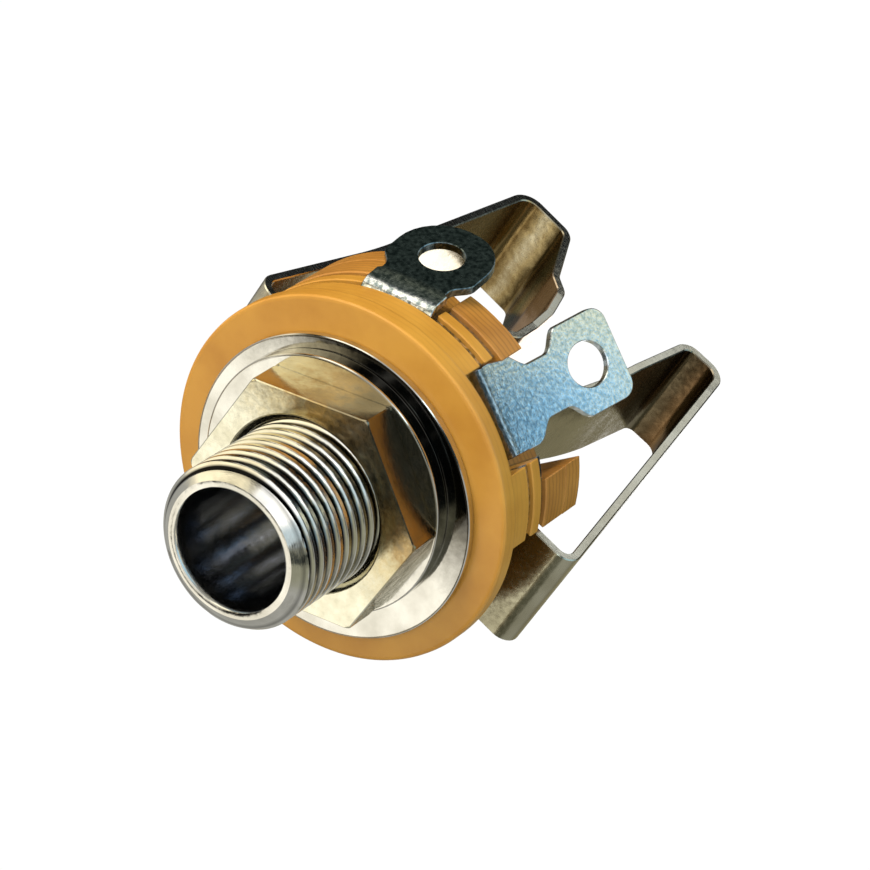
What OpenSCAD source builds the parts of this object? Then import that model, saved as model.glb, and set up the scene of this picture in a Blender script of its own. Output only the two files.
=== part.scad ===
// Panel-mounted open-frame mono jack socket for a 6.35 mm plug.
// The plug axis runs along Y: the mouth faces -Y and the contact springs reach back along +Y.
// The origin is on that axis, in the front face of the insulating disc, where the panel seats.

/* [Bushing] */
// Radius of the threaded barrel, over the thread crests
thread_r = 4.763; // [4.5:0.001:5.2]
// Radius of the hole that guides the plug
bore_r = 3.25; // [3.2:0.01:3.4]
// How far the barrel stands in front of the panel seat
barrel_reach = 10.3; // [8:0.1:14]
// Radial depth of the chamfer at the end of the thread
thread_chamfer = 0.55; // [0.2:0.05:0.7]
// Radius of the flared mouth of the plug hole
mouth_r = 3.75; // [3.5:0.05:4]
// Axial length of the flare in the mouth
mouth_flare = 0.35; // [0.3:0.05:2]
// Radius of the flange behind the insulating disc
flange_r = 6.6; // [6:0.1:7]
// Thickness of that flange
flange_t = 1; // [0.8:0.1:1.4]
// Radius of the tail that the stack is threaded on
tail_r = 4.2; // [4:0.05:4.4]
// How far the end of the tail is rolled outwards to hold the stack
rolled_lip = 0.8; // [0.4:0.1:1.4]

/* [Nut and washers] */
// Width of the hex nut across its flats
nut_flats = 12.8; // [11.5:0.1:16]
// Thickness of the hex nut
nut_t = 2.2; // [1.6:0.1:4]
// Turn of the nut from flats parallel to the ground, in degrees
nut_turn = 6; // [0:1:59]
// Radial running clearance between the nut and the thread
nut_clearance = 0.06; // [0.02:0.01:0.1]
// Radius of the small washer under the nut
small_washer_r = 7.6; // [7:0.05:9]
// Thickness of the small washer
small_washer_t = 0.95; // [0.6:0.05:1.5]
// Radius of the large washer on the panel side
large_washer_r = 8.95; // [8:0.05:10.5]
// Thickness of the large washer
large_washer_t = 0.5; // [0.4:0.05:1.2]
// Radial play of both washers on the thread
washer_play = 0.4; // [0.36:0.02:0.6]

/* [Insulators] */
// Radius of the round insulating disc in front
disc_r = 10.75; // [9.8:0.05:12]
// Thickness of the disc
disc_t = 1.2; // [0.8:0.1:2]
// How far the edge of the notched insulators lies inside the disc's edge
insulator_inset = 0.3; // [0:0.05:0.8]
// Thickness of the insulator that the flange is sunk into
flange_insulator_t = 1.75; // [1.6:0.05:3]
// Thickness of the insulator between the two terminals
middle_insulator_t = 0.8; // [0.6:0.05:2]
// Thickness of the insulator behind the sleeve terminal
rear_insulator_t = 2.05; // [1.5:0.05:3]
// Thickness of the last insulator
end_insulator_t = 1.5; // [1:0.1:2.5]
// Wall of the insulating tube between the tail and the tip terminal
tube_wall = 0.8; // [0.5:0.05:1]
// Radius of the metal washer under the rolled lip
rivet_washer_r = 6.4; // [5.6:0.1:7]
// Thickness of that washer
rivet_washer_t = 0.5; // [0.3:0.05:0.8]
// Gap between pieces that are threaded on one another
seat_gap = 0.03; // [0.02:0.01:0.1]

/* [Stamped contacts] */
// Thickness of the sheet that both contacts are stamped from
sheet_t = 0.5; // [0.4:0.05:0.6]
// Width of the contact springs
spring_w = 7.3; // [6:0.1:8]
// Direction of the tip spring round the axis, in degrees from +X towards +Z
tip_spring_turn = 146.5; // [140:0.5:152]
// Direction of the sleeve spring round the axis
sleeve_spring_turn = -33.5; // [-40:0.5:-30]
// Direction of the tip solder lug round the axis
tip_lug_turn = 79.5; // [78:0.5:86]
// Direction of the sleeve solder lug round the axis
sleeve_lug_turn = 29; // [26:0.5:33]
// Radius of the wire holes in the solder lugs
lug_hole_r = 1.3; // [0.8:0.05:1.4]
// Clearance at the line that each spring flexes about
flex_gap = 0.07; // [0.07:0.01:0.12]
// Width of the tip spring's free end
tip_end_w = 5; // [3:0.1:6]
// Width of the sleeve spring's free end
sleeve_end_w = 5.4; // [3:0.1:6]

/* [Tip spring profile] */
// Distance from the axis to where the leaf turns backwards
tip_root_r = 11; // [10.2:0.05:11.6]
// Distance from the axis to the bow in the leaf
tip_bow_r = 9; // [8.6:0.05:9.6]
// Place of that bow along the axis
tip_bow_y = 12.6; // [9:0.1:16]
// Distance from the axis to the far end of the leaf
tip_far_r = 7.45; // [6.8:0.05:8]
// Place of the far end along the axis
tip_far_y = 26.8; // [25:0.1:30]
// Distance from the axis to the fold where the arm turns forwards
tip_fold_r = 4; // [3.4:0.05:4.6]
// Distance from the axis to the knee of the arm
tip_knee_r = 2.2; // [1.8:0.05:2.8]
// Place of the knee along the axis
tip_knee_y = 22.8; // [22:0.1:24]
// Distance from the axis to the middle of the sheet where it meets the plug's tip
tip_contact_r = 0.7; // [0.5:0.05:1.5]
// Place of that contact along the axis
tip_contact_y = 17.6; // [16.8:0.1:18.5]
// Distance from the axis to the free end, which leads the plug in
tip_lip_r = 2.9; // [2.2:0.05:3.4]

/* [Sleeve spring profile] */
// Distance from the axis to where the leaf turns backwards
sleeve_root_r = 12.15; // [11.4:0.05:12.8]
// Distance from the axis to the far end of the leaf
sleeve_far_r = 8.45; // [7.8:0.05:9]
// Place of the far end along the axis
sleeve_far_y = 27.1; // [25:0.1:30]
// Distance from the axis to the fold where the arm turns forwards
sleeve_fold_r = 5.75; // [5.2:0.05:6.2]
// Distance from the axis to the bow in the arm
sleeve_bow_r = 4.95; // [4.4:0.05:5.4]
// Place of that bow along the axis
sleeve_bow_y = 20; // [17:0.1:23]
// Distance from the axis to the corner that meets the plug's sleeve
sleeve_contact_r = 2.95; // [2.8:0.05:3.2]
// Place of that corner along the axis
sleeve_contact_y = 11.3; // [11:0.1:13]
// Distance from the axis to the free end, which leads the plug in
sleeve_lip_r = 4.1; // [3.6:0.05:4.6]

/* [Hidden] */
$fn = 96;
bend_steps = 8;

nickel = "#C9C6BC";
brass_tint = "#CDBE93";
bright = "#D9DADC";
phenolic = "#D08A2B";
dark_phenolic = "#A8692A";
paper_tube = "#C8A878";
contact_metal = "#A9AB9C";

// Places of the layers along the axis, from the panel seat backwards
disc_back = disc_t;
flange_back = disc_back + flange_t;
tip_plate_y = disc_back + flange_insulator_t;
middle_y = tip_plate_y + sheet_t;
sleeve_plate_y = middle_y + middle_insulator_t;
rear_y = sleeve_plate_y + sheet_t;
end_y = rear_y + rear_insulator_t;
rivet_washer_y = end_y + end_insulator_t;
lip_y = rivet_washer_y + rivet_washer_t;
lip_t = 0.55;
tail_end = lip_y + lip_t;
// The rolled end is flared inside by this share of the tail's wall
tail_flare = (tail_r - bore_r) * 0.58;

// Places of the nut and washers in front of the seat
small_washer_y = -large_washer_t - small_washer_t;
nut_y = small_washer_y - nut_t;
washer_hole_r = thread_r + washer_play;
nut_bevel = 0.15;
nut_countersink = 0.4;
// The loose washers hang off centre by less than their play
small_washer_shift = [-0.2, 0.25];
large_washer_shift = [-0.15, -0.3];

// Round pieces inside the stack
tube_r = tail_r + seat_gap + tube_wall;
relief_r = thread_r - 0.45;
relief_w = 0.7;
disc_hole_r = thread_r + 0.15;
edge_r = 0.2;
insulator_r = disc_r - insulator_inset;

// Notches in the insulators: direction, half width, distance of the floor from the axis
notch_clearance = 0.15;
spring_notch = spring_w / 2 + notch_clearance;
spring_notch_floor = 8.6;
tip_lug_notch = 2.45;
tip_lug_notch_floor = 8.9;
sleeve_lug_notch_floor = 7.1;
tip_lug_notches = [[tip_lug_turn, tip_lug_notch, tip_lug_notch_floor]];
// The first two notched insulators fit the sleeve lug closely, the last two leave it more room below
front_lug_notch = 2.95;
rear_lug_notch = 3.45;
rear_lug_notch_turn = sleeve_lug_turn - 5;
front_lug_notches = [[sleeve_lug_turn, front_lug_notch, sleeve_lug_notch_floor]];
rear_lug_notches = [[rear_lug_notch_turn, rear_lug_notch, sleeve_lug_notch_floor]];
// The springs flex about a line just outside the floor of their notches
flex_r = spring_notch_floor + notch_clearance;
tab_end = flex_r - flex_gap;
function spring_notches(tip_floor, sleeve_floor) = [
    [tip_spring_turn, spring_notch, tip_floor],
    [sleeve_spring_turn, spring_notch, sleeve_floor]
];
flange_notches = concat(spring_notches(spring_notch_floor, spring_notch_floor), front_lug_notches);
middle_notches = concat(flange_notches, tip_lug_notches);
rear_notches = concat(spring_notches(spring_notch_floor, spring_notch_floor), tip_lug_notches, rear_lug_notches);
// The contact plates are notched alike, and end at the line where their own spring flexes
tip_plate_notches = concat(spring_notches(tab_end, spring_notch_floor), front_lug_notches, tip_lug_notches);
sleeve_plate_notches = concat(spring_notches(spring_notch_floor, tab_end), front_lug_notches, tip_lug_notches);
// The flat on the last insulator, between the two lugs
end_flat_turn = 56.5;
end_flat = 8.35;
plate_r = insulator_r - 0.25;

// Lug blanks: half widths of base, neck and eye, then the places along the lug
// where base and neck end, where the eye starts, the hole and the end
tip_lug_blank = [2.28, 2.1, 2.9, 1.3, 1.8, 3.1, 4.25, 7.15];
tip_lug_end_round = 2.8;
tip_lug_bend_r = 10.35;
tip_lug_splay = 10;
sleeve_lug_blank = [2.6, 1.6, 2.7, 1.9, 4.5, 5.7, 6.7, 8.95];
sleeve_lug_end_round = 0.9;
sleeve_lug_bend_r = 8.2;
sleeve_lug_splay = 21;
lug_bend = 0.6;
// Length of the full width that the bend and the upright part of a lug share
lug_root = 1.3;

// Side profiles of the two springs as [distance from the axis, place along the axis, bend radius]
tip_plate_mid = tip_plate_y + sheet_t / 2;
sleeve_plate_mid = sleeve_plate_y + sheet_t / 2;
tight_bend = sheet_t * 1.6;
wide_bend = sheet_t * 2.2;
bow_bend = 30;
// The arm steps in from the knee by this much, and lies level with the axis from there on
knee_step = [1, 0.7];
level_y = tip_contact_y + 3;
far_drop = 0.1;
tip_spring_path = [
    [flex_r, tip_plate_mid, 0],
    [tip_root_r, tip_plate_mid, tight_bend],
    [tip_bow_r, tip_bow_y, bow_bend],
    [tip_far_r, tip_far_y, wide_bend],
    [tip_fold_r, tip_far_y - far_drop, tight_bend],
    [tip_knee_r, tip_knee_y, tight_bend],
    [tip_knee_r - knee_step.x, tip_knee_y - knee_step.y, tight_bend],
    [tip_contact_r, level_y, tight_bend],
    [tip_contact_r, tip_contact_y, tight_bend],
    [tip_lip_r, tip_contact_y - (tip_lip_r - tip_contact_r), 0]
];
sleeve_spring_path = [
    [flex_r, sleeve_plate_mid, 0],
    [sleeve_root_r, sleeve_plate_mid, tight_bend],
    [sleeve_far_r, sleeve_far_y, wide_bend],
    [sleeve_fold_r, sleeve_far_y - far_drop, tight_bend],
    [sleeve_bow_r, sleeve_bow_y, bow_bend],
    [sleeve_contact_r, sleeve_contact_y, tight_bend],
    [sleeve_lip_r, sleeve_contact_y - 1.2 * (sleeve_lip_r - sleeve_contact_r), 0]
];
// The arm keeps its full width down to this far in front of the fold, and then tapers
taper_from = 5;
taper_to = 4;

// A point on a circle about c
function on_circle(c, r, a) = c + r * [cos(a), sin(a)];
function unit(v) = v / norm(v);
// The direction to the left of d
function left(d) = [-d.y, d.x];
function reversed(list) = [for (i = [len(list) - 1:-1:0]) list[i]];
function flat(p) = [p.x, p.y];

// One side of the rounded corner at q, on the way from p to s, shifted by off to the left
function corner(p, q, s, bend, off) =
    let (
        into = unit(q - p),
        away = unit(s - q),
        turn = sign(into.x * away.y - into.y * away.x),
        half = (180 - acos(into * away)) / 2,
        c = q + unit(away - into) * bend / sin(half),
        start = left(into) * -turn,
        first = atan2(start.y, start.x),
        sweep = turn * (180 - 2 * half),
        r = bend - off * turn
    )
    [for (i = [0:bend_steps]) on_circle(c, r, first + sweep * i / bend_steps)];

// One side of a bent sheet that follows the path
function side(path, off) =
    let (
        last = len(path) - 1,
        p = [for (q = path) flat(q)],
        out = unit(p[1] - p[0]),
        home = unit(p[last] - p[last - 1])
    )
    concat(
        [p[0] + off * left(out)],
        [for (i = [1:last - 1], q = corner(p[i - 1], p[i], p[i + 1], path[i][2], off)) q],
        [p[last] + off * left(home)]
    );

// Half of a lug's outline, from base to end, as [half width, place along the lug]
function ease(from, to, n) = [
    for (i = [0:n]) from + [(to - from).x * (1 - cos(180 * i / n)) / 2, (to - from).y * i / n]
];
function lug_half(b, end_round) = concat(
    ease([b[0], b[3]], [b[1], (b[3] + b[4]) / 2], 6),
    ease([b[1], b[4]], [b[2], b[5]], 6),
    [for (i = [0:8]) on_circle([b[2] - end_round, b[7] - end_round], end_round, i * 90 / 8)]
);

// Turns what is drawn along +Z so that it lies along the jack's axis
module along_jack() {
    rotate([-90, 0, 0]) children();
}

// The same, with X pointing away from the axis in the direction of turn
module facing(turn) {
    along_jack() rotate([0, 0, -turn]) children();
}

module ring(outer, inner, y, t) {
    along_jack() translate([0, 0, y]) difference() {
        cylinder(r = outer, h = t);
        translate([0, 0, -1]) cylinder(r = inner, h = t + 2);
    }
}

// A strip of sheet of the given width, bent along the path
module strip(path, w) {
    rotate([90, 0, 0]) linear_extrude(w, center = true)
        polygon(concat(side(path, sheet_t / 2), reversed(side(path, -sheet_t / 2))));
}

// An outline of [across, along] points, drawn upright and as thick as the sheet
module upright_sheet(points, t = sheet_t) {
    rotate([90, 0, 90]) linear_extrude(t, center = true) polygon(points);
}

module threaded_bushing() {
    color(nickel) along_jack() rotate_extrude() polygon([
        [mouth_r, -barrel_reach],
        [thread_r - thread_chamfer, -barrel_reach],
        [thread_r, thread_chamfer * 1.6 - barrel_reach],
        [thread_r, disc_back - relief_w - relief_r + thread_r - 0.45],
        [relief_r, disc_back - relief_w],
        [relief_r, disc_back],
        [flange_r, disc_back],
        [flange_r, flange_back],
        [tail_r, flange_back],
        [tail_r, lip_y],
        [tail_r + rolled_lip, lip_y],
        [tail_r + rolled_lip, lip_y + lip_t * 0.55],
        [tail_r + rolled_lip * 0.65, lip_y + lip_t * 0.9],
        [tail_r, tail_end],
        [bore_r + tail_flare, tail_end],
        [bore_r, tail_end - tail_flare],
        [bore_r, mouth_flare - barrel_reach]
    ]);
}

module hex_nut() {
    corner_r = nut_flats / 2 / cos(30);
    hole_r = thread_r + nut_clearance;
    bevel = nut_bevel;
    bevel_h = bevel * tan(40);
    countersink = nut_countersink;
    color(brass_tint) facing(-nut_turn) translate([0, 0, nut_y]) difference() {
        intersection() {
            cylinder(r = corner_r, h = nut_t, $fn = 6);
            rotate_extrude() polygon([
                [0, 0],
                [corner_r - bevel, 0],
                [corner_r, bevel_h],
                [corner_r, nut_t - bevel_h],
                [corner_r - bevel, nut_t],
                [0, nut_t]
            ]);
        }
        rotate_extrude() polygon([
            [0, -1],
            [hole_r + countersink + 1, -1],
            [hole_r, countersink],
            [hole_r, nut_t - countersink],
            [hole_r + countersink + 1, nut_t + 1],
            [0, nut_t + 1]
        ]);
    }
}

module small_washer() {
    color(bright) translate([small_washer_shift.x, 0, small_washer_shift.y])
        ring(small_washer_r, washer_hole_r, small_washer_y, small_washer_t);
}

module large_washer() {
    color(bright) translate([large_washer_shift.x, 0, large_washer_shift.y])
        ring(large_washer_r, washer_hole_r, -large_washer_t, large_washer_t);
}

module front_insulator() {
    color(phenolic) along_jack() rotate_extrude() polygon([
        [disc_hole_r, 0],
        [disc_r - edge_r, 0],
        [disc_r, edge_r],
        [disc_r, disc_t - edge_r],
        [disc_r - edge_r, disc_t],
        [disc_hole_r, disc_t]
    ]);
}

// A layer of the stack: a disc with a notch for each spring and lug that bends back past it
module notched_disc(r, y, t, hole, notches) {
    difference() {
        along_jack() translate([0, 0, y]) cylinder(r = r, h = t);
        along_jack() translate([0, 0, y - 1]) cylinder(r = hole, h = t + 2);
        for (n = notches)
            facing(n[0]) translate([n[2], -n[1], y - 1]) cube([insulator_r, 2 * n[1], t + 2]);
    }
}

module flange_insulator() {
    color(phenolic) difference() {
        notched_disc(insulator_r, disc_back, flange_insulator_t, tube_r + seat_gap, flange_notches);
        along_jack() translate([0, 0, disc_back - 1]) cylinder(r = flange_r + seat_gap, h = flange_t + 1);
    }
}

module middle_insulator() {
    color(phenolic) notched_disc(insulator_r, middle_y, middle_insulator_t, tube_r + seat_gap, middle_notches);
}

module rear_insulator() {
    color(dark_phenolic) notched_disc(insulator_r, rear_y, rear_insulator_t, tail_r + seat_gap, rear_notches);
}

module end_insulator() {
    color(phenolic) difference() {
        notched_disc(insulator_r, end_y, end_insulator_t, tail_r + seat_gap, rear_notches);
        facing(end_flat_turn) translate([end_flat, -disc_r, end_y - 1]) cube([disc_r, 2 * disc_r, end_insulator_t + 2]);
    }
}

module insulating_tube() {
    color(paper_tube) ring(tube_r, tail_r + seat_gap, flange_back, sleeve_plate_y - flange_back);
}

// The clamped part of a contact: a notched plate on the bushing and a solder lug
module terminal(y, hole, notches, lug_turn, blank, end_round, bend_r, splay) {
    mid = y + sheet_t / 2;
    half = lug_half(blank, end_round);
    outline = concat([[blank[0], 0]], half, reversed([for (p = half) [-p.x, p.y]]), [[-blank[0], 0]]);
    difference() {
        union() {
            notched_disc(plate_r, y, sheet_t, hole, notches);
            facing(lug_turn) {
                strip([
                    [hole, mid, 0],
                    [bend_r, mid, lug_bend],
                    [bend_r + lug_root * sin(splay), mid + lug_root * cos(splay), 0]
                ], 2 * blank[0]);
                difference() {
                    translate([bend_r, 0, mid]) rotate([0, splay, 0]) upright_sheet(outline);
                    translate([0, -spring_w, y - 2]) cube([bend_r + 3, 2 * spring_w, 2 + sheet_t + lug_bend]);
                }
            }
        }
        along_jack() translate([0, 0, y - 1]) cylinder(r = hole, h = sheet_t + 2);
        facing(lug_turn) translate([bend_r, 0, mid]) rotate([0, splay, 0]) translate([-1, 0, blank[6]])
            rotate([0, 90, 0]) cylinder(r = lug_hole_r, h = 2, $fn = 48);
    }
}

// The moving part of a contact: the leaf, folded back on itself to the free end that meets the plug
module spring(path, fold_at, turn, end_w) {
    tip = path[len(path) - 1];
    fold = path[fold_at];
    full = spring_w / 2;
    past = sheet_t * 2;
    cut_d = fold.x + 10 * sheet_t;
    facing(turn) difference() {
        strip(path, spring_w);
        for (hand = [-1, 1])
            translate([fold.x - cut_d / 2, 0, 0]) upright_sheet([
                [hand * (full + past), tip.y - past],
                [hand * end_w / 2, tip.y - past],
                [hand * end_w / 2, tip.y + taper_to],
                [hand * full, fold.y - taper_from],
                [hand * (full + past), fold.y - taper_from]
            ], cut_d);
    }
}

module tip_terminal() {
    color(contact_metal) terminal(
        tip_plate_y, tube_r + seat_gap, tip_plate_notches, tip_lug_turn,
        tip_lug_blank, tip_lug_end_round, tip_lug_bend_r, tip_lug_splay
    );
}

module sleeve_terminal() {
    color(contact_metal) terminal(
        sleeve_plate_y, tail_r, sleeve_plate_notches, sleeve_lug_turn,
        sleeve_lug_blank, sleeve_lug_end_round, sleeve_lug_bend_r, sleeve_lug_splay
    );
}

module tip_spring() {
    color(contact_metal) spring(tip_spring_path, 4, tip_spring_turn, tip_end_w);
}

module sleeve_spring() {
    color(contact_metal) spring(sleeve_spring_path, 3, sleeve_spring_turn, sleeve_end_w);
}

module rivet_washer() {
    color(bright) ring(rivet_washer_r, tail_r + seat_gap, rivet_washer_y, rivet_washer_t);
}

threaded_bushing();
hex_nut();
small_washer();
large_washer();
front_insulator();
flange_insulator();
middle_insulator();
rear_insulator();
end_insulator();
insulating_tube();
tip_terminal();
tip_spring();
sleeve_terminal();
sleeve_spring();
rivet_washer();
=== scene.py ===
"""Looks of an open-frame mono jack socket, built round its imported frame.

The plug's axis is the Y axis and the mouth faces -Y. Sizes in the classes are millimetres.
"""

import logging
import math
from dataclasses import dataclass
from enum import Enum
from typing import Any, Sequence

import bmesh
import bpy
from mathutils import Matrix, Vector


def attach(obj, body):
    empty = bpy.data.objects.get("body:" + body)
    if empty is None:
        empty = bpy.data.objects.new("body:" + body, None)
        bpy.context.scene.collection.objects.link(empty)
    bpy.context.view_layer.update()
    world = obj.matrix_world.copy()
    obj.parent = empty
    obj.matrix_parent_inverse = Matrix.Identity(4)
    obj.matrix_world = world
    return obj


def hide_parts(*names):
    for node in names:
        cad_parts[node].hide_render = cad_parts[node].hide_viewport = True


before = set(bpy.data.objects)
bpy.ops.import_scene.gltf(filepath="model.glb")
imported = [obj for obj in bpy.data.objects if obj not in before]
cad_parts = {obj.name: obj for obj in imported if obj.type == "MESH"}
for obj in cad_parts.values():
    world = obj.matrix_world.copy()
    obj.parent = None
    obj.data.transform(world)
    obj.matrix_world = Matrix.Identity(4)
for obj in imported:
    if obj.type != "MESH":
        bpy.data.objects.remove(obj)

MM = 0.001
# Narrow ring beside a rounding, in millimetres, which keeps the flat next to it shaded flat
FLAT = 0.03
LOG = logging.getLogger("jack_socket")
Colour = tuple[float, float, float, float]
Place = tuple[float, float, float]
Outline = Sequence[tuple[float, float]]
Stops = Sequence[tuple[float, str]]
Socket = bpy.types.NodeSocket
Tree = bpy.types.NodeTree
Mesh = bmesh.types.BMesh
Edges = list[bmesh.types.BMEdge]


def linear(code: str, strength: float = 1.0) -> Colour:
    """Turns an sRGB hex value into linear red, green, blue and alpha.

    Args:
        code: The hex value, such as #D08A2B.
        strength: How many times as bright the colour becomes.

    Returns:
        The linear colour.
    """
    parts = [int(code[i : i + 2], 16) / 255 for i in (1, 3, 5)]
    red, green, blue = (c / 12.92 if c <= 0.04045 else ((c + 0.055) / 1.055) ** 2.4 for c in parts)
    return (red * strength, green * strength, blue * strength, 1.0)


def add(tree: Tree, kind: str, inputs: dict[Any, Any] | None = None, **settings: Any) -> bpy.types.Node:
    """Adds one shader node with its settings and links.

    Args:
        tree: The node tree that gets the node.
        kind: The node's type, such as ShaderNodeTexNoise.
        inputs: For an input's name or number, a plain value or the output socket that feeds it.
        settings: The node's own properties.

    Returns:
        The new node.
    """
    node = tree.nodes.new(kind)
    for key, value in settings.items():
        setattr(node, key, value)
    for key, value in (inputs or {}).items():
        if isinstance(value, Socket):
            tree.links.new(value, node.inputs[key])
        else:
            node.inputs[key].default_value = value
    return node


def maths(tree: Tree, operation: str, *values: Any) -> Socket:
    """Works a number out of others."""
    return add(tree, "ShaderNodeMath", dict(enumerate(values)), operation=operation).outputs["Value"]


def measure(tree: Tree, operation: str, *values: Any) -> Socket:
    """Works a number out of vectors."""
    return add(tree, "ShaderNodeVectorMath", dict(enumerate(values)), operation=operation).outputs["Value"]


def spread(tree: Tree, value: Socket, low: float, high: float, start: float = 0.0, end: float = 1.0,
           smooth: bool = False) -> Socket:
    """Stretches one range of numbers over another and holds what lies outside it.

    Args:
        tree: The node tree.
        value: The number's socket.
        low: Value that gives the start.
        high: Value that gives the end.
        start: What the low value becomes.
        end: What the high value becomes.
        smooth: Whether the change eases in and out.

    Returns:
        The socket of the new number.
    """
    limits = {"Value": value, "From Min": low, "From Max": high, "To Min": start, "To Max": end}
    kind = "SMOOTHSTEP" if smooth else "LINEAR"
    return add(tree, "ShaderNodeMapRange", limits, interpolation_type=kind).outputs["Result"]


def noise(tree: Tree, place: Socket, width: float, detail: float, roughness: float = 0.5) -> Socket:
    """Makes a cloudy pattern.

    Args:
        tree: The node tree.
        place: The coordinates' socket.
        width: About how wide its patches are.
        detail: How many finer layers it has.
        roughness: How strong the finer layers are.

    Returns:
        The pattern's socket.
    """
    inputs = {"Vector": place, "Scale": 1 / (width * MM), "Detail": detail, "Roughness": roughness}
    return add(tree, "ShaderNodeTexNoise", inputs).outputs["Fac"]


def mix(tree: Tree, share: Any, under: Any, over: Any, blend: str = "MIX") -> Socket:
    """Lays one colour over another.

    Args:
        tree: The node tree.
        share: How much of the upper colour shows.
        under: The lower colour.
        over: The upper colour.
        blend: How the two are blended.

    Returns:
        The colour's socket.
    """
    inputs = {0: share, 6: under, 7: over}
    return add(tree, "ShaderNodeMix", inputs, data_type="RGBA", blend_type=blend).outputs[2]


def bump(tree: Tree, height: Socket, strength: float, distance: float, **under: Socket) -> Socket:
    """Raises a surface by a pattern.

    Args:
        tree: The node tree.
        height: The pattern's socket.
        strength: How strongly it shows.
        distance: How high it is.
        under: The surface below it, as Normal, where that is raised too.

    Returns:
        The normal's socket.
    """
    inputs = {"Height": height, "Strength": strength, "Distance": distance * MM, **under}
    return add(tree, "ShaderNodeBump", inputs).outputs["Normal"]


def ramp(tree: Tree, factor: Socket, stops: Stops) -> Socket:
    """Colours a factor through hex stops.

    Args:
        tree: The node tree.
        factor: The socket that gives the place on the ramp.
        stops: Pairs of place and hex colour, from low to high.

    Returns:
        The colour's socket.
    """
    node = add(tree, "ShaderNodeValToRGB", {"Fac": factor})
    elements = node.color_ramp.elements
    while len(elements) < len(stops):
        elements.new(0.5)
    for element, (place, code) in zip(elements, stops):
        element.position = place
        element.color = linear(code)
    return node.outputs["Color"]


def blank(name: str) -> tuple[bpy.types.Material, Tree]:
    """Makes a material with an empty node tree, and gives both."""
    made = bpy.data.materials.new(name)
    made.use_nodes = True
    made.node_tree.nodes.clear()
    return made, made.node_tree


def shine(tree: Tree, colour: Any, strength: float = 1.0) -> None:
    """Ends a material's tree in plain light, seen the same from everywhere."""
    glow = add(tree, "ShaderNodeEmission", {"Color": colour, "Strength": strength})
    add(tree, "ShaderNodeOutputMaterial", {"Surface": glow.outputs["Emission"]})


class Edge(Enum):
    """How far a corner may turn and still be shaded as one round surface, in degrees."""

    TURNED = 32
    STAMPED = 25


def keep(bm: Mesh, name: str, edge: Edge) -> bpy.types.Object:
    """Closes a mesh, turns its faces outwards and puts it in the scene.

    Args:
        bm: The mesh in work, in metres. It is freed.
        name: The piece's name.
        edge: Where its shading breaks.

    Returns:
        The new object, at the origin.
    """
    bmesh.ops.remove_doubles(bm, verts=bm.verts[:], dist=2e-7)
    bmesh.ops.recalc_face_normals(bm, faces=bm.faces[:])
    mesh = bpy.data.meshes.new(name)
    bm.to_mesh(mesh)
    bm.free()
    mesh.shade_smooth()
    mesh.set_sharp_from_angle(angle=math.radians(edge.value))
    piece = bpy.data.objects.new(name, mesh)
    bpy.context.scene.collection.objects.link(piece)
    return piece


def weigh(mesh: bpy.types.Mesh, edge: Edge) -> None:
    """Lets the larger face set the shading at each corner, so that a flat stays flat beside a bend.

    Args:
        mesh: The finished mesh.
        edge: Where its shading breaks.
    """
    limit = math.cos(math.radians(edge.value))
    around: list[list[bpy.types.MeshPolygon]] = [[] for _ in mesh.vertices]
    for face in mesh.polygons:
        for v in face.vertices:
            around[v].append(face)
    normals = [Vector((0.0, 0.0, 0.0)) for _ in mesh.loops]
    for face in mesh.polygons:
        for corner, v in zip(face.loop_indices, face.vertices):
            for near in around[v]:
                if near.normal.dot(face.normal) > limit:
                    normals[corner] += near.normal * near.area
    mesh.normals_split_custom_set([n.normalized() for n in normals])


def lathe(bm: Mesh, outline: Outline, steps: int) -> None:
    """Spins a closed outline round the plug's axis.

    Args:
        bm: The mesh in work.
        outline: Pairs of radius and place along the axis.
        steps: Number of steps in a full turn.
    """
    points = [bm.verts.new((r * MM, y * MM, 0)) for r, y in outline]
    edges = [bm.edges.new(pair) for pair in zip(points, points[1:] + points[:1])]
    bmesh.ops.spin(bm, geom=points + edges, cent=(0, 0, 0), axis=(0, 1, 0), dvec=(0, 0, 0),
                   angle=2 * math.pi, steps=steps, use_merge=True, use_duplicate=False)


def rounded(outline: Outline, radius: float, steps: int = 3) -> list[tuple[float, float]]:
    """Rounds every corner of a closed outline.

    Args:
        outline: Pairs of radius and place along the axis.
        radius: Radius of the rounding at a square corner.
        steps: Number of steps in each rounding.

    Returns:
        The outline with its corners rounded, and a narrow flat on either side of each.
    """
    points = [Vector(p) for p in outline]
    made: list[tuple[float, float]] = []
    for before, corner, after in zip(points[-1:] + points[:-1], points, points[1:] + points[:1]):
        into, away = (before - corner).normalized(), (after - corner).normalized()
        made.append(tuple(corner + into * (radius + FLAT)))
        for i in range(steps + 1):
            t = i / steps
            made.append(tuple(corner + into * radius * (1 - t) ** 2 + away * radius * t ** 2))
        made.append(tuple(corner + away * (radius + FLAT)))
    return made


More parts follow.
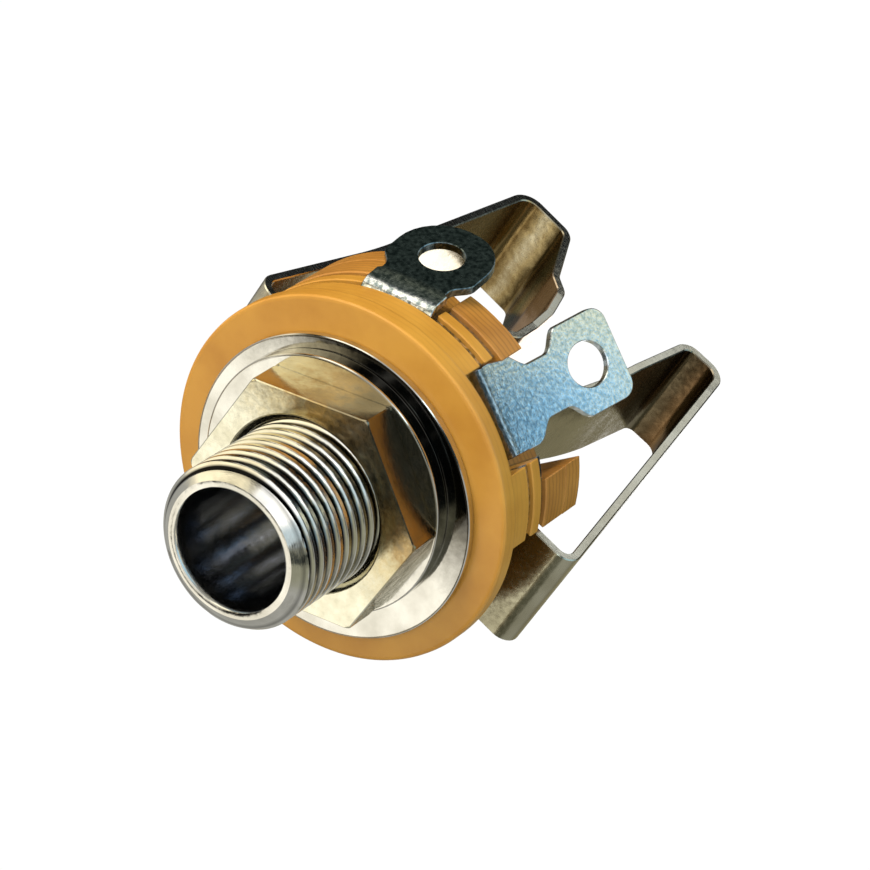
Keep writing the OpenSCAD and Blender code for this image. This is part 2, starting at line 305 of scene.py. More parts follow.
def softened(node: str, width: float, edge: Edge, clamp: bool = True) -> bpy.types.Object:
    """Copies a frame node and eases its sharp corners, as tumbling after the press does.

    Args:
        node: The frame node's name.
        width: How far the corner is eased.
        edge: Where the shading breaks.
        clamp: Whether the shortest edge limits the width everywhere.

    Returns:
        The new piece, which stands for the node.
    """
    bm = bmesh.new()
    bm.from_mesh(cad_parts[node].data)
    bmesh.ops.remove_doubles(bm, verts=bm.verts[:], dist=1e-6)
    # The frame's flat faces come in triangles, which would catch the bevel
    bmesh.ops.dissolve_limit(bm, angle_limit=math.radians(0.5), verts=bm.verts[:], edges=bm.edges[:])
    sharp = [e for e in bm.edges if e.is_manifold and e.calc_face_angle(0) > math.radians(edge.value)]
    bmesh.ops.bevel(bm, geom=sharp, offset=width * MM, offset_type="OFFSET", segments=1, profile=0.5,
                    affect="EDGES", clamp_overlap=clamp, material=-1)
    piece = keep(bm, f"{node}_dressed", edge)
    weigh(piece.data, edge)
    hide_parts(node)
    return piece


def dress(piece: bpy.types.Object, body: str, finish: bpy.types.Material) -> bpy.types.Object:
    """Finishes a piece.

    Args:
        piece: The piece.
        body: The body that it rides on.
        finish: The piece's material.

    Returns:
        The same piece.
    """
    piece.data.materials.clear()
    piece.data.materials.append(finish)
    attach(piece, body)
    LOG.info("%s: %d faces on %s", piece.name, len(piece.data.polygons), body)
    return piece


@dataclass(frozen=True)
class RecessShade:
    """Painted shade in a recess of the turned barrel: a darker colour laid over the metal there."""

    # Radii between which it lies, then places along the axis between which it lies
    inner: float
    outer: float
    first: float
    last: float
    code: str

    def cover(self, tree: Tree, place: Socket, colour: Socket) -> Socket:
        """Lays the painted shade over a colour.

        Args:
            tree: The metal's node tree.
            place: The Object coordinates.
            colour: The clean metal's colour.

        Returns:
            The colour with the painted shade on it.
        """
        flat = add(tree, "ShaderNodeVectorMath", {0: place, 1: (1.0, 0.0, 1.0)}, operation="MULTIPLY")
        reach = measure(tree, "LENGTH", flat.outputs["Vector"])
        along = add(tree, "ShaderNodeSeparateXYZ", {"Vector": place}).outputs["Y"]
        share: Any = 1.0
        # Value, where it is bare, and where the painted shade is full
        for value, clean, full in (
            (reach, self.outer, self.outer - 0.12),
            (reach, self.inner - 0.1, self.inner),
            (along, self.first - 0.25, self.first),
            (along, self.last, self.last - 0.1),
        ):
            share = maths(tree, "MULTIPLY", share, spread(tree, value, clean * MM, full * MM))
        return mix(tree, share, colour, linear(self.code))


@dataclass(frozen=True)
class PaintedSweep:
    """Painted reflection and shade, which change from one side of a piece to the other."""

    towards: Place
    # Pairs of distance from the axis in that direction, and colour
    stops: Stops
    # Width of the blotches at the borders, and how far they reach over them
    blotch: float
    drift: float
    # It lies on faces that look along this way or against it. Cosines of the turn where it starts and is full.
    way: Place = (0.0, 1.0, 0.0)
    start: float = 0.0
    full: float = 0.0

    def cover(self, tree: Tree, place: Socket, colour: Socket) -> Socket:
        """Tints a colour with the painted reflection and shade.

        Args:
            tree: The metal's node tree.
            place: The Object coordinates.
            colour: The clean metal's colour.

        Returns:
            The colour with the painted reflection and shade on it.
        """
        along = measure(tree, "DOT_PRODUCT", place, Vector(self.towards).normalized())
        blotches = noise(tree, place, self.blotch, 5.0, 0.7)
        drift = spread(tree, blotches, 0.25, 0.75, -self.drift * MM, self.drift * MM)
        low, high = self.stops[0][0], self.stops[-1][0]
        share = spread(tree, maths(tree, "ADD", along, drift), low * MM, high * MM)
        tint = ramp(tree, share, [((at - low) / (high - low), code) for at, code in self.stops])
        cover: Any = 1.0
        if self.start != self.full:
            normal = add(tree, "ShaderNodeTexCoord").outputs["Normal"]
            facing = measure(tree, "DOT_PRODUCT", normal, Vector(self.way).normalized())
            cover = spread(tree, maths(tree, "ABSOLUTE", facing), self.start, self.full)
        return mix(tree, cover, colour, tint, "MULTIPLY")


@dataclass(frozen=True)
class Nickel:
    """Thin plate on brass, steel or nickel silver: grey metal with fine marks and wavering reflections."""

    name: str
    pale: str
    deep: str
    roughness: float
    # Width of the waver in the reflections, and how strong it is
    waver: float
    depth: float
    # Distance between the cutter's or the roll's marks, drawn coarser than the real 0.05 mm so that they show
    mark: float
    # Painted shade in recesses, laid over the metal's colour
    painted_shade: tuple[RecessShade, ...] = ()
    # Painted reflection and shade swept across the piece, laid over its colour
    painted_sweep: PaintedSweep | None = None

    def material(self) -> bpy.types.Material:
        """Builds the material."""
        made, tree = blank(self.name)
        place = add(tree, "ShaderNodeTexCoord").outputs["Object"]
        cloud = noise(tree, place, self.waver, 3.0)
        # Marks run round the axis, so they are squeezed along it
        drawn = add(tree, "ShaderNodeMapping", {"Vector": place, "Scale": (1.0, 6.0, 1.0)})
        marks = noise(tree, drawn.outputs["Vector"], self.mark, 2.0)
        colour = ramp(tree, cloud, [(0.35, self.deep), (0.65, self.pale)])
        # Painted reflection and shade, then painted shade in recesses, over the metal's colour
        if self.painted_sweep:
            colour = self.painted_sweep.cover(tree, place, colour)
        for painted_shade in self.painted_shade:
            colour = painted_shade.cover(tree, place, colour)
        rough = spread(tree, marks, 0.3, 0.7, self.roughness * 0.7, self.roughness * 1.4)
        wave = bump(tree, cloud, self.depth, self.waver * 0.1)
        fine = bump(tree, marks, self.depth * 0.5, self.mark * 0.1, Normal=wave)
        shader = add(tree, "ShaderNodeBsdfPrincipled", {"Base Color": colour, "Metallic": 1.0,
                                                        "Roughness": rough, "Normal": fine})
        add(tree, "ShaderNodeOutputMaterial", {"Surface": shader.outputs["BSDF"]})
        return made


@dataclass(frozen=True)
class Laminate:
    """Paper laminate bonded with phenolic resin and punched from sheet: glossy faces, layered edges."""

    name: str
    pale: str
    deep: str
    line: str
    # Distance between the darker paper layers that show on a punched edge
    layer: float
    # How strongly those layers show
    show: float
    roughness: float = 0.34

    def material(self) -> bpy.types.Material:
        """Builds the material."""
        made, tree = blank(self.name)
        coordinates = add(tree, "ShaderNodeTexCoord")
        place = coordinates.outputs["Object"]
        resin = ramp(tree, noise(tree, place, 3.5, 4.0), [(0.32, self.deep), (0.62, self.pale)])
        speck = noise(tree, place, 0.35, 3.0)
        # Layers are planes across the axis, bent a little where the punch has dragged them
        shift = maths(tree, "MULTIPLY", noise(tree, place, 1.2, 1.0), 0.25 * MM)
        height = maths(tree, "ADD", add(tree, "ShaderNodeSeparateXYZ", {"Vector": place}).outputs["Y"], shift)
        saw = maths(tree, "FRACT", maths(tree, "MULTIPLY", height, 1 / (self.layer * MM)))
        band = spread(tree, saw, 0.62, 0.8, 0.0, self.show, smooth=True)
        # Only walls that run along the axis show the layers
        facing = add(tree, "ShaderNodeSeparateXYZ", {"Vector": coordinates.outputs["Normal"]}).outputs["Y"]
        wall = spread(tree, maths(tree, "ABSOLUTE", facing), 0.4, 0.1)
        colour = mix(tree, maths(tree, "MULTIPLY", band, wall), resin, linear(self.line))
        rough = spread(tree, speck, 0.0, 1.0, self.roughness * 0.8, self.roughness * 1.3)
        shader = add(tree, "ShaderNodeBsdfPrincipled", {"Base Color": colour, "Roughness": rough, "IOR": 1.58,
                                                        "Normal": bump(tree, speck, 0.12, 0.02)})
        add(tree, "ShaderNodeOutputMaterial", {"Surface": shader.outputs["BSDF"]})
        return made


class Finishes:
    """Every finish on the socket, built once."""

    def __init__(self) -> None:
        """Builds the materials."""
        # Bright turned barrel, with painted shade: black in the roots between the crests, and a darker bore
        roots, bore = RecessShade(3.9, 4.64, -9.8, 0.4, "#141414"), RecessShade(0.1, 3.6, -9.4, 9.4, "#C6C8CE")
        self.barrel = Nickel("nickel_plated_turned_brass", "#E4E2DC", "#C9C7BF", roughness=0.12, waver=2.4,
                             depth=0.2, mark=0.2, painted_shade=(roots, bore)).material()
        # Milled nut with painted reflection: pale towards the lower left, golden and then dark towards the
        # upper right
        nut_reflection = PaintedSweep((0.77, 0.0, 0.64), (
            (0.0, "#F0EEDC"), (3.0, "#D6CAA6"), (4.4, "#B89F72"), (6.0, "#948870"), (8.0, "#857E6C")),
            blotch=0.6, drift=1.4)
        self.nut = Nickel("nickel_plated_milled_brass", "#FFFFFF", "#E6E4DE", roughness=0.18, waver=1.2,
                          depth=0.15, mark=0.25, painted_sweep=nut_reflection).material()
        # Two alike washers of white zinc; on the large one's faces a painted dark reflection, darker towards
        # the upper right
        zinc = ("#E6E5E0", "#CBC9C2", 0.1, 2.0, 0.07, 0.25)
        washer_dark_arc = PaintedSweep((0.72, 0.0, 0.69), ((1.5, "#FFFFFF"), (5.0, "#8E8C88"), (6.8, "#3C3B3A")),
                       blotch=0.8, drift=0.8, start=0.9, full=0.98)
        self.washer = Nickel("zinc_plated_stamped_steel", *zinc).material()
        self.dark_washer = Nickel("stamped_steel_painted_dark_arc", *zinc, painted_sweep=washer_dark_arc).material()
        self.rivet = Nickel("nickel_silver_rolled_strip", "#CFCBBB", "#A59F8B", roughness=0.2, waver=4.0,
                            depth=0.3, mark=0.4).material()
        # Bent strip of both springs: painted highlights and dark reflections in bands across the strip's
        # faces, none on the cut edges
        strip = ("#E8E4D6", "#D2CCBA", 0.22, 3.0, 0.3, 0.3)
        across, cut = (0.83, 0.0, -0.55), (0.55, 0.0, 0.83)
        tip_bands = PaintedSweep(across, (
            (-8.6, "#FFFAF0"), (-7.7, "#E8DFCC"), (-7.0, "#A8946C"), (-6.4, "#A48E66"), (-6.0, "#D8C8A2"),
            (-5.6, "#FFFAE8"), (-5.0, "#D8C8A0"), (-4.5, "#6E6248"), (-3.9, "#B8A27C"), (-3.2, "#4E6454"),
            (-2.5, "#C8A890"), (-1.0, "#D8BCA8")), blotch=1.5, drift=0.3, way=cut, start=0.85, full=0.65)
        sleeve_bands = PaintedSweep(across, (
            (5.0, "#C4C2B4"), (6.2, "#8A8272"), (7.0, "#6A5C4A"), (7.8, "#957A5E"), (8.6, "#5E5448"),
            (10.0, "#B4B4A8"), (12.0, "#D0D0C4")), blotch=1.5, drift=0.35, way=cut, start=0.85, full=0.65)
        self.tip_strip = Nickel("nickel_silver_bent_strip", *strip, painted_sweep=tip_bands).material()
        self.sleeve_strip = Nickel("nickel_silver_formed_strip", *strip, painted_sweep=sleeve_bands).material()
        # Silvered lugs with a speckle like crushed foil. The upper one is a darker copy with painted shade,
        # lighter at its bend with a painted highlight.
        self.tag = Nickel("silver_plated_solder_tag", "#E8ECEE", "#AEBEC6", roughness=0.16, waver=0.22,
                          depth=0.55, mark=0.25).material()
        tag_shade = PaintedSweep((0.0, 1.0, 0.0), (
            (3.6, "#FFFFFF"), (4.3, "#FFFCF0"), (4.8, "#8A9698"), (11.0, "#93A0A2")), blotch=0.4, drift=0.1)
        self.shaded_tag = Nickel("shaded_silver_solder_tag", "#FFFFFF", "#7E8A8C", roughness=0.2, waver=0.26,
                               depth=0.6, mark=0.25, painted_sweep=tag_shade).material()
        # Amber layers with faint paper lines, darker brown ones with strong lines, and bare wound paper
        self.amber = Laminate("amber_phenolic_paper_laminate", "#C99138", "#B9802C", "#8A5A20", layer=0.4,
                              show=0.12).material()
        self.brown = Laminate("brown_phenolic_paper_laminate", "#BE8438", "#A56E2C", "#6E441A", layer=0.35,
                              show=0.4).material()
        self.paper = Laminate("wound_paper_tube", "#C8A878", "#B08E5C", "#8F6E40", layer=0.2, show=0.5,
                              roughness=0.7).material()


@dataclass
class Thread:
    """A right-hand 60 degree thread round the plug's axis."""

    crest_r: float = 4.763
    pitch: float = 0.79375
    depth: float = 0.42
    steps: int = 128

    def form(self) -> list[tuple[float, float]]:
        """Gives one pitch of the thread's outline, from the middle of a root to the middle of the next.

        Returns:
            Pairs of radius and place along the axis.
        """
        root = self.crest_r - self.depth
        # Pairs of place in the pitch and rise above the root, up to the crest's edge
        half = [(0.0, 0.0), (0.04, 0.0), (0.07, 0.05), (0.099, 0.15),
                (0.291, 0.85), (0.32, 0.95), (0.35, 1.0), (0.4, 1.0)]
        mirrored = [(1 - at, rise) for at, rise in reversed(half)]
        return [(root + self.depth * rise, at * self.pitch) for at, rise in half + mirrored]

    def wind(self, bm: Mesh, first: float, last: float) -> None:
        """Winds the thread's surface between two places along the axis, and trims it square.

        Args:
            bm: The mesh in work, still empty.
            first: Where the thread starts.
            last: Where it ends.
        """
        begin = math.floor(first / self.pitch) - 2
        turns = math.ceil(last / self.pitch) + 1 - begin
        points = [bm.verts.new((r * MM, (begin * self.pitch + y) * MM, 0)) for r, y in self.form()]
        edges = [bm.edges.new(pair) for pair in zip(points, points[1:])]
        bmesh.ops.spin(bm, geom=points + edges, cent=(0, 0, 0), axis=(0, 1, 0),
                       dvec=(0, self.pitch / self.steps * MM, 0), angle=2 * math.pi,
                       steps=self.steps, use_merge=False, use_duplicate=False)
        turn = bm.verts[:] + bm.edges[:] + bm.faces[:]
        for k in range(1, turns):
            copy = bmesh.ops.duplicate(bm, geom=turn)["geom"]
            moved = [g for g in copy if isinstance(g, bmesh.types.BMVert)]
            bmesh.ops.translate(bm, verts=moved, vec=(0, k * self.pitch * MM, 0))
        bmesh.ops.remove_doubles(bm, verts=bm.verts[:], dist=2e-6)
        for place, way in ((first, -1), (last, 1)):
            bmesh.ops.bisect_plane(bm, geom=bm.verts[:] + bm.edges[:] + bm.faces[:], dist=1e-7,
                                   plane_co=(0, place * MM, 0), plane_no=(0, way, 0), clear_outer=True)


def rim_at(bm: Mesh, place: float) -> Edges:
    """Finds the open edges that lie at one place along the axis."""
    return [e for e in bm.edges if e.is_boundary and all(abs(v.co.y / MM - place) < 0.004 for v in e.verts)]


def draw_out(bm: Mesh, rim: Edges, outline: Outline) -> Edges:
    """Carries an open rim on through an outline, ring by ring, as a lathe tool would leave it.

    Args:
        bm: The mesh in work.
        rim: The open edges to carry on from.
        outline: Pairs of radius and place along the axis.

    Returns:
        The open edges at the outline's end.
    """
    for radius, place in outline:
        made = bmesh.ops.extrude_edge_only(bm, edges=rim)["geom"]
        fresh = {g for g in made if isinstance(g, bmesh.types.BMVert)}
        for v in fresh:
            share = radius * MM / math.hypot(v.co.x, v.co.z)
            v.co = (v.co.x * share, place * MM, v.co.z * share)
        rim = [g for g in made if isinstance(g, bmesh.types.BMEdge) and fresh.issuperset(g.verts)]
    return rim


@dataclass
class Bushing:
    """The turned barrel: threaded outside, bored for the plug, flanged, and rolled over at the tail."""

    thread: Thread
    bore_r: float = 3.25
    reach: float = 10.3
    # Depth of the chamfer at the mouth, and how much it widens for each step along the axis
    chamfer: float = 0.8
    chamfer_slope: float = 1.5
    rim_r: float = 3.56
    lead_in: float = 2.0
    relief_w: float = 0.7
    relief_depth: float = 0.45
    disc_back: float = 1.2
    flange_back: float = 2.2
    flange_r: float = 6.6
    tail_r: float = 4.2
    # Radial reach, front and thickness of the tail's rolled lip, and how far its inside opens
    lip: float = 0.8
    lip_y: float = 8.8
    lip_t: float = 0.55
    flare: float = 0.551

    def build(self) -> bpy.types.Object:
        """Winds the thread, turns the rest and joins the two."""
        bm = bmesh.new()
        front, rear = -self.reach, self.disc_back - self.relief_w
        relief_r = self.thread.crest_r - self.relief_depth
        mouth_r = self.thread.crest_r - self.chamfer
        self.thread.wind(bm, front, rear)
        for v in bm.verts:
            radius, place = math.hypot(v.co.x, v.co.z) / MM, v.co.y / MM
            cap = min(mouth_r + (place - front) * self.chamfer_slope, relief_r + (rear - place))
            if radius > cap:
                v.co.x *= cap / radius
                v.co.z *= cap / radius
        groove = draw_out(bm, rim_at(bm, rear), [(relief_r, rear + 0.02), (relief_r, self.disc_back)])
        flange = draw_out(bm, rim_at(bm, front), self.outline(front))
        bmesh.ops.bridge_loops(bm, edges=groove + flange)
        return keep(bm, "bushing_with_thread", Edge.TURNED)

    def outline(self, front: float) -> list[tuple[float, float]]:
        """Gives the turned outline from the mouth through the bore and over the tail to the flange.

        Args:
            front: Place of the mouth.

        Returns:
            Pairs of radius and place along the axis.
        """
        rim, bore, tail, back = self.rim_r, self.bore_r, self.tail_r, self.flange_back
        start, end, ease = front + 0.08, self.lip_y + self.lip_t, 0.06
        # Eased rim, then six rings of the lead-in
        made = [(rim + 0.3, front), (rim + 0.1, front + 0.01), (rim + 0.03, front + 0.035), (rim, start)]
        made += [(rim - (rim - bore) * i / 6, start + self.lead_in * (i / 6) ** 1.5) for i in range(1, 7)]
        # Bore, and the opening inside the rolled tail
        made += [(bore, -5.0), (bore, 0.0), (bore, end - self.flare),
                 (bore + self.flare * 0.4, end - self.flare * 0.45), (bore + self.flare, end - 0.03),
                 (bore + self.flare + 0.05, end), (tail, end)]
        # Rolled lip, in shares of its reach and thickness
        made += [(tail + self.lip * out, self.lip_y + self.lip_t * up)
                 for out, up in ((0.4, 0.97), (0.65, 0.88), (0.9, 0.66), (1.0, 0.4))]
        made += [(tail + self.lip, self.lip_y + 0.05), (tail + self.lip - 0.05, self.lip_y),
                 (tail, self.lip_y)]
        # Tail's wall and the flange
        made += [(tail, back), (self.flange_r - ease, back), (self.flange_r, back - ease),
                 (self.flange_r, self.disc_back + ease), (self.flange_r - ease, self.disc_back)]
        return made

    def dress(self, finish: bpy.types.Material) -> bpy.types.Object:
        """Builds the bushing and gives it its finish.

        Args:
            finish: The bushing's material.

        Returns:
            The piece.
        """
        piece = self.build()
        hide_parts("threaded_bushing")
        return dress(piece, "socket", finish)


@dataclass
class Washer:
    """A flat ring round the plug's axis, stamped or punched, that may hang a little off centre."""

    node: str
    outer: float
    hole: float
    front: float
    thickness: float
    shift: tuple[float, float]
    ease: float

    def dress(self, body: str, slot: str, finish: bpy.types.Material) -> bpy.types.Object:
        """Builds the washer and gives it its finish.

        Args:
            body: The body that it rides on.
            finish: The washer's material.

        Returns:
            The piece.
        """
        bm = bmesh.new()
        back = self.front + self.thickness
        corners = [(self.hole, self.front), (self.outer, self.front), (self.outer, back), (self.hole, back)]
        lathe(bm, rounded(corners, self.ease), 192)
        bmesh.ops.translate(bm, verts=bm.verts[:], vec=(self.shift[0] * MM, 0, self.shift[1] * MM))
        piece = keep(bm, f"{self.node}_dressed", Edge.TURNED)
        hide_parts(self.node)
        return dress(piece, body, finish)


@dataclass
class Fastening:
    """The nut and its two washers in front of the panel seat."""

    thread: Thread

    def dress(self, finishes: Finishes) -> None:
        """Builds the nut and washers.

        Args:
            finishes: The socket's finishes.
        """
        dress(softened("hex_nut", 0.08, Edge.STAMPED), "nut", finishes.nut)
        hole = self.thread.crest_r + 0.4
        Washer("small_washer", 7.6, hole, -1.45, 0.95, (-0.2, 0.25), 0.12).dress(
            "washers", "steel_washer", finishes.washer)
        Washer("large_washer", 8.95, hole, -0.5, 0.5, (-0.15, -0.3), 0.14).dress(
            "washers", "steel_washer", finishes.dark_washer)


@dataclass
class Stack:
    """The insulators that are threaded on the bushing's tail, and the washer under its rolled end."""

    disc_r: float = 10.75
    disc_t: float = 1.2
    disc_hole: float = 4.913
    ease: float = 0.07

    def dress(self, finishes: Finishes) -> None:
        """Builds the disc, the notched insulators, the tube and the rivet washer.

        Args:
            finishes: The socket's finishes.
        """
        Washer("front_insulator", self.disc_r, self.disc_hole, 0.0, self.disc_t, (0, 0), 0.25).dress(
            "socket", "amber_phenolic", finishes.amber)
        for node in ("flange_insulator", "middle_insulator"):
            dress(softened(node, self.ease, Edge.STAMPED), "socket", finishes.amber)
        for node in ("rear_insulator", "end_insulator"):
            dress(softened(node, self.ease, Edge.STAMPED), "socket", finishes.brown)
        dress(softened("insulating_tube", 0.05, Edge.STAMPED), "socket", finishes.paper)
        Washer("rivet_washer", 6.4, 4.23, 8.3, 0.5, (0, 0), 0.08).dress(
            "socket", "steel_washer", finishes.rivet)


@dataclass
class Contacts:
    """The two stamped contacts: clamped plates with solder lugs, and the leaves that meet the plug."""

    burr: float = 0.06
    lug_burr: float = 0.045

    def dress(self, finishes: Finishes) -> None:
        """Eases and dresses the four stamped pieces.

        Args:
            finishes: The socket's finishes.
        """
        for node, body, finish in (
            # The upper lug takes the darker copy of the lug finish, with painted shade and a painted highlight
            # at its bend
            ("tip_terminal", "socket", finishes.shaded_tag),
            ("sleeve_terminal", "socket", finishes.tag),
            ("tip_spring", "tip_contact", finishes.tip_strip),
            ("sleeve_spring", "sleeve_contact", finishes.sleeve_strip),
        ):
            lug = body == "socket"
            dress(softened(node, self.lug_burr if lug else self.burr, Edge.STAMPED, clamp=not lug), body,
                  finish)


@dataclass(frozen=True)
class Glow:
    """A soft patch of the room that the metal mirrors."""

    towards: Place
    # Degrees from that direction where the patch is full, and where it ends
    inner: float
    outer: float
    code: str
    strength: float = 1.0


@dataclass(frozen=True)
class Spot:
    """A round patch of paint on a card."""

    at: Place
    # Distances from there where the paint is full, and where it ends
    near: float
    far: float
    code: str
    strength: float = 1.0


@dataclass(frozen=True)
class Card:
    """A round card that hangs close by and that only the metal mirrors."""

    name: str
    at: Place
    facing: Place
    radius: float
    code: str
    strength: float
    spots: tuple[Spot, ...] = ()

    def hang(self) -> None:
        """Builds the card and its paint."""
        bm = bmesh.new()
        bmesh.ops.create_circle(bm, cap_ends=True, segments=64, radius=self.radius * MM)
        turn = Vector(self.facing).to_track_quat("Z", "Y").to_matrix().to_4x4()
        bmesh.ops.transform(bm, matrix=Matrix.Translation(Vector(self.at) * MM) @ turn, verts=bm.verts[:])
        piece = keep(bm, self.name, Edge.TURNED)
        made, tree = blank(f"{self.name}_paint")
        place = add(tree, "ShaderNodeTexCoord").outputs["Object"]
        colour: Any = linear(self.code, self.strength)
        for spot in self.spots:
            away = measure(tree, "DISTANCE", place, Vector(spot.at) * MM)
            share = spread(tree, away, spot.far * MM, spot.near * MM, smooth=True)
            colour = mix(tree, share, colour, linear(spot.code, spot.strength))
        shine(tree, colour)
        piece.data.materials.append(made)
        piece.visible_camera = piece.visible_diffuse = piece.visible_shadow = False
        piece.visible_transmission = False


@dataclass(frozen=True)
class Lamp:
    """A soft square lamp that faces the object and that the metal doesn't mirror."""

    name: str
    towards: Place
    distance: float
    size: float
    watts: float
    code: str
    # Place along the axis of the object's middle, which the lamp looks at
    middle: float = 8.0

    def hang(self) -> None:
        """Builds the lamp."""
        data = bpy.data.lights.new(self.name, "AREA")
        data.size, data.energy, data.color = self.size * MM, self.watts, linear(self.code)[:3]
        made = bpy.data.objects.new(self.name, data)
        aim = Vector(self.towards).normalized()
        made.location = aim * self.distance * MM + Vector((0, self.middle * MM, 0))
        made.rotation_mode = "QUATERNION"
        made.rotation_quaternion = (-aim).to_track_quat("-Z", "Y")
        made.visible_glossy = False
        bpy.context.scene.collection.objects.link(made)


@dataclass
class Studio:
    """Pale floor, white backdrop, the room's soft light and the camera."""

    glows: tuple[Glow, ...]
    cards: tuple[Card, ...]
    lamps: tuple[Lamp, ...]
    room: str = "#B9B9B4"
    # Just past white, so that floor and backdrop show no tone
    paper_strength: float = 1.02
    camera_at: Place = (110.70, -163.89, 93.25)
    camera_back: Place = (0.48853, -0.76684, 0.41628)
    lens: float = 165.5
    sensor: float = 36.0
    floor_z: float = -60.0

    def camera(self) -> None:
        """Puts the camera where the photograph was taken from."""
        data = bpy.data.cameras.new("camera")
        data.lens, data.sensor_width = self.lens, self.sensor
        data.clip_start, data.clip_end = 0.01, 10
        made = bpy.data.objects.new("camera", data)
        back = Vector(self.camera_back).normalized()
        right = Vector((0, 0, 1)).cross(back).normalized()
        up = back.cross(right)
        turn = Matrix((right, up, back)).transposed().to_4x4()
        made.matrix_world = Matrix.Translation(Vector(self.camera_at) * MM) @ turn
        bpy.context.scene.collection.objects.link(made)
        bpy.context.scene.camera = made

    def shell(self) -> None:
        """Builds the floor and the backdrop, which neither light the object nor show in its metal."""
        bm = bmesh.new()
        bmesh.ops.create_grid(bm, x_segments=1, y_segments=1, size=1.0)
        bmesh.ops.translate(bm, verts=bm.verts[:], vec=(0, 0, self.floor_z * MM))
        floor = keep(bm, "floor", Edge.TURNED)
        bm = bmesh.new()
        bmesh.ops.create_uvsphere(bm, u_segments=48, v_segments=24, radius=1.3)
        backdrop = keep(bm, "backdrop", Edge.TURNED)
        for piece in (floor, backdrop):
            paper, tree = blank(f"{piece.name}_paper")
            shine(tree, linear("#FFFFFF"), self.paper_strength)
            piece.data.materials.append(paper)
            piece.visible_diffuse = piece.visible_glossy = piece.visible_shadow = False
            piece.visible_transmission = False

    def world(self) -> None:
        """Builds the room's soft light, with the patches that the metal mirrors."""
        world = bpy.data.worlds.new("soft_room")
        bpy.context.scene.world = world
        world.use_nodes = True
        tree = world.node_tree
        tree.nodes.clear()
        way = add(tree, "ShaderNodeTexCoord").outputs["Generated"]
        colour: Any = linear(self.room)
        for glow in self.glows:
            aim = measure(tree, "DOT_PRODUCT", way, Vector(glow.towards).normalized())
            edge, core = math.cos(math.radians(glow.outer)), math.cos(math.radians(glow.inner))
            share = spread(tree, aim, edge, core, smooth=True)
            colour = mix(tree, share, colour, linear(glow.code, glow.strength))
        light = add(tree, "ShaderNodeBackground", {"Color": colour, "Strength": 1.0})
        add(tree, "ShaderNodeOutputWorld", {"Surface": light.outputs["Background"]})

    def build(self) -> None:
        """Sets up the whole studio."""
        self.camera()
        self.shell()
        for gear in (*self.cards, *self.lamps):
            gear.hang()
        self.world()
        view = bpy.context.scene.view_settings
        view.view_transform = "Standard"
        view.look = "None"


CARDS = (
    # The front faces mirror this one: its black arc shows on the large washer
    Card("front_card", (-23.0, -35.0, -19.5), (0, 1, 0), 19, "#FFFAEC", 1.35, (
        Spot((-21.0, -35.0, -8.0), 7, 10.5, "#0B0B0B"),
        Spot((-23.58, -35.0, -20.1), 9.9, 10.3, "#FFFAEC", 1.35),
        Spot((-26.2, -35.0, -10.2), 1.8, 3.2, "#FFFAEC", 1.35))),
    # The sleeve spring's cut edge mirrors this one
    Card("edge_card", (19.5, 47.0, 23.0), (-0.23, -0.78, -0.58), 11, "#E6EAE8", 0.95),
    # The tip spring's leaf behind the eye of its lug mirrors this one
    Card("leaf_card", (-6.5, 41.8, -15.8), (0.01, -0.72, 0.69), 7, "#FFFFFF", 2.4),
    # The right-hand lug mirrors this one: pale at its tip, blue on its flat and dark at its bend
    Card("lug_card", (36.0, 12.5, 15.0), (-0.92, -0.18, -0.35), 15, "#E2E4C8", 1.25, (
        Spot((36.5, 13.0, 13.4), 3.2, 5.4, "#8ED2FA", 1.45),
        Spot((36.6, 10.9, 13.6), 1.2, 2.8, "#3F90C8", 0.95),
        Spot((36.2, 4.6, 15.8), 5.9, 6.7, "#3A4C50"))),
)

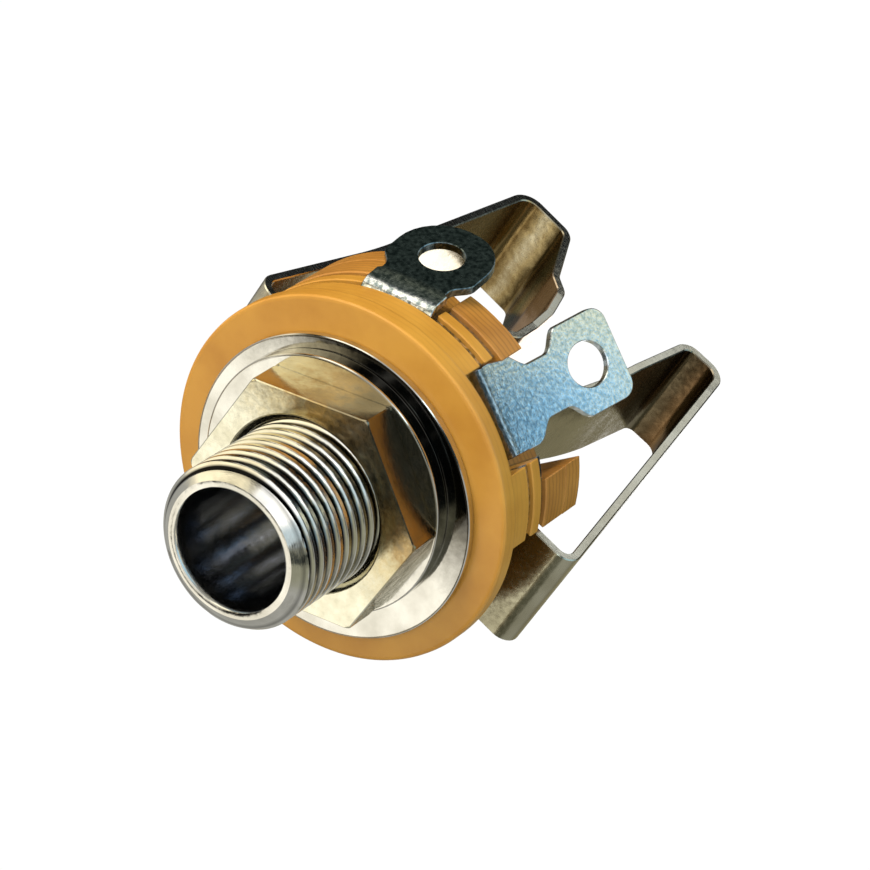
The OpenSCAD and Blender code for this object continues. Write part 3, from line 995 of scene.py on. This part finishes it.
# A later patch covers an earlier one
GLOWS = (
    # Dark room behind the object, and the windows in front of it and to its left
    Glow((0.0, 1.0, 0.1), 40, 85, "#151619"),
    Glow((0.2, -0.94, 0.28), 12, 40, "#FFFFFF", 1.8),
    Glow((-0.63, -0.67, 0.4), 15, 40, "#FFF3D0", 1.6),
    Glow((0.42, -0.81, -0.42), 8, 25, "#A5A590"),
    # Blue sky on the right, and the table's brown in the front faces
    Glow((0.92, 0.15, 0.36), 18, 45, "#A9CDE4", 1.5),
    Glow((-0.5, -0.75, -0.42), 12, 28, "#A3957C"),
    # Grey and olive tones in the sleeve spring's root, the upper lug and the leaves' inner faces
    Glow((-0.05, -0.69, -0.72), 10, 22, "#6E6E62"),
    Glow((-0.28, 0.57, 0.77), 10, 22, "#4C544C"),
    Glow((-0.2, 0.75, -0.62), 15, 40, "#A09A80"),
    # Dark bow that the walls of the nut and washers mirror by way of the face behind them
    Glow((0.56, -0.77, -0.31), 4, 8, "#20282A"),
    Glow((0.63, -0.77, -0.1), 6, 11, "#20282A"),
    Glow((0.62, -0.77, 0.12), 6, 11, "#20282A"),
    Glow((0.49, -0.77, 0.42), 8, 13, "#20282A"),
    Glow((0.24, -0.75, 0.62), 6, 11, "#20282A"),
    Glow((-0.12, -0.75, 0.65), 5, 10, "#20282A"),
    # Bright patches that make the streaks along the thread, then a dark and a bright one beside them
    Glow((0.2, -0.94, 0.28), 10, 15, "#FFFFFF", 2.0),
    Glow((0.0, -0.91, 0.42), 5, 9, "#FFFFFF", 1.6),
    Glow((0.38, -0.92, 0.0), 6, 12, "#C9DCE6", 1.3),
    Glow((-0.49, -0.42, 0.77), 10, 25, "#1A1916"),
    Glow((0.51, -0.64, 0.58), 3, 6, "#E8FBFF", 2.5),
    # Bright patch in the upper lug's bend, and a dark one in the right-hand lug's
    Glow((-0.27, -0.28, 0.92), 15, 22, "#FFFBEA", 1.9),
    Glow((0.76, -0.58, 0.28), 8, 16, "#2A3A3E"),
)

LAMPS = (
    Lamp("key", (-0.35, -0.4, 1.1), 400, 250, 1.6, "#FFF6E8"),
    Lamp("fill", (0.9, -0.4, 0.4), 500, 400, 1.2, "#EEF4FF"),
)


def main() -> None:
    """Builds and dresses every sub-assembly in order."""
    logging.basicConfig(level=logging.INFO, format="%(message)s")
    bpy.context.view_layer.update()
    finishes = Finishes()
    thread = Thread()
    Bushing(thread).dress(finishes.barrel)
    Fastening(thread).dress(finishes)
    Stack().dress(finishes)
    Contacts().dress(finishes)
    Studio(GLOWS, CARDS, LAMPS).build()


if __name__ == "__main__":
    main()
